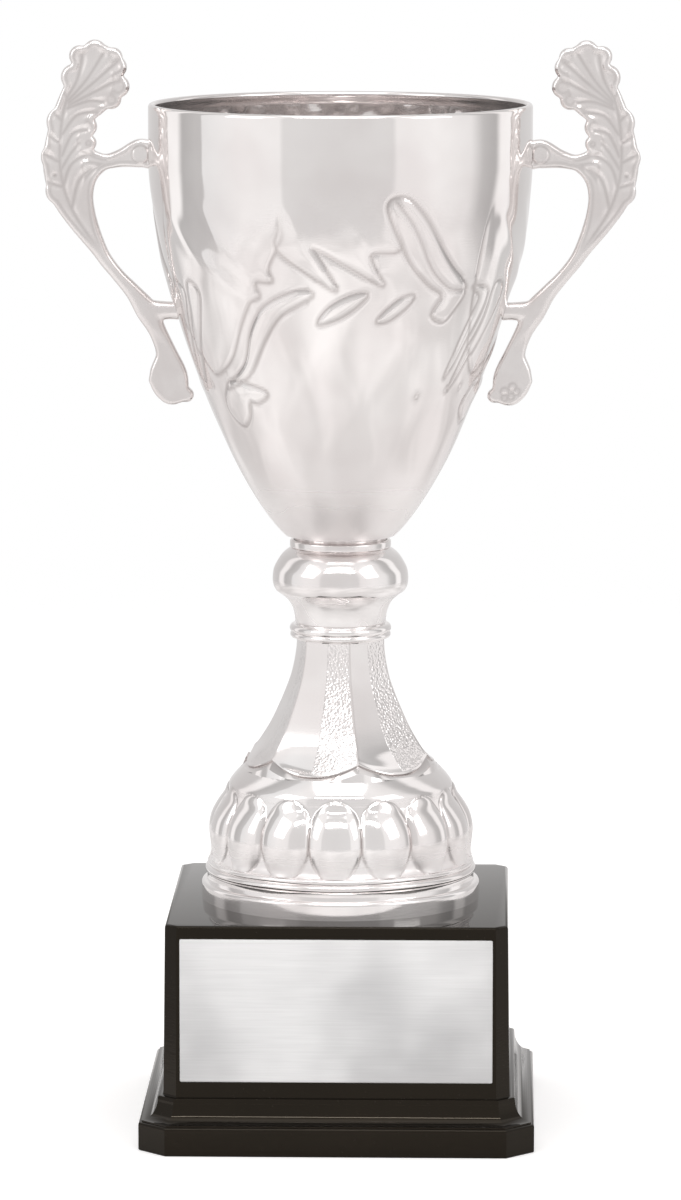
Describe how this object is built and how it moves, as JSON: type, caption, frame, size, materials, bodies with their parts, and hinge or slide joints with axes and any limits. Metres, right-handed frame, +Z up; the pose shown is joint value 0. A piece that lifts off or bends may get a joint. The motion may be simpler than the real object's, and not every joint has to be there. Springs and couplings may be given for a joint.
{
  "type": "cup trophy",
  "caption": "Two-handled cup trophy: an embossed cup with leaf handles on a knob, a hexagonal gadrooned riser and a square plinth with a blank plate.",
  "frame": {"origin": "centre of the underside of the base, on the surface that the trophy stands on", "axes": "+Z up along the rod, X through both handles, -Y out of the engraving plate"},
  "size_m": [0.1872, 0.123, 0.3416],
  "materials": {
    "plated_cup": "polished silver plate",
    "plated_casting": "polished silver plate on a casting",
    "plated_moulding": "metallised silver, polished with stippled facets",
    "zinc_steel": "bright zinc",
    "black_moulding": "gloss black-brown",
    "ballast_iron": "rough cast",
    "hardboard": "plain hardboard",
    "felt": "felt",
    "engraving_plate": "fine horizontal brushing",
    "tape": "adhesive sheet"
  },
  "bodies": {
    "root": {"bowl": "plated_cup", "bowl_washer": "zinc_steel", "bowl_nut": "zinc_steel", "handle_left": "plated_casting", "handle_right": "plated_casting", "handle_screws": "zinc_steel", "handle_washers": "zinc_steel", "seat_collar": "plated_moulding", "knob": "plated_moulding", "neck_ring": "plated_moulding", "riser": "plated_moulding", "tie_rod": "zinc_steel", "base_shell": "black_moulding", "ballast": "ballast_iron", "base_washer": "zinc_steel", "base_nut": "zinc_steel", "base_cover": "hardboard", "felt_pad": "felt", "plate": "engraving_plate", "plate_tape": "tape"}
  },
  "joints": []
}
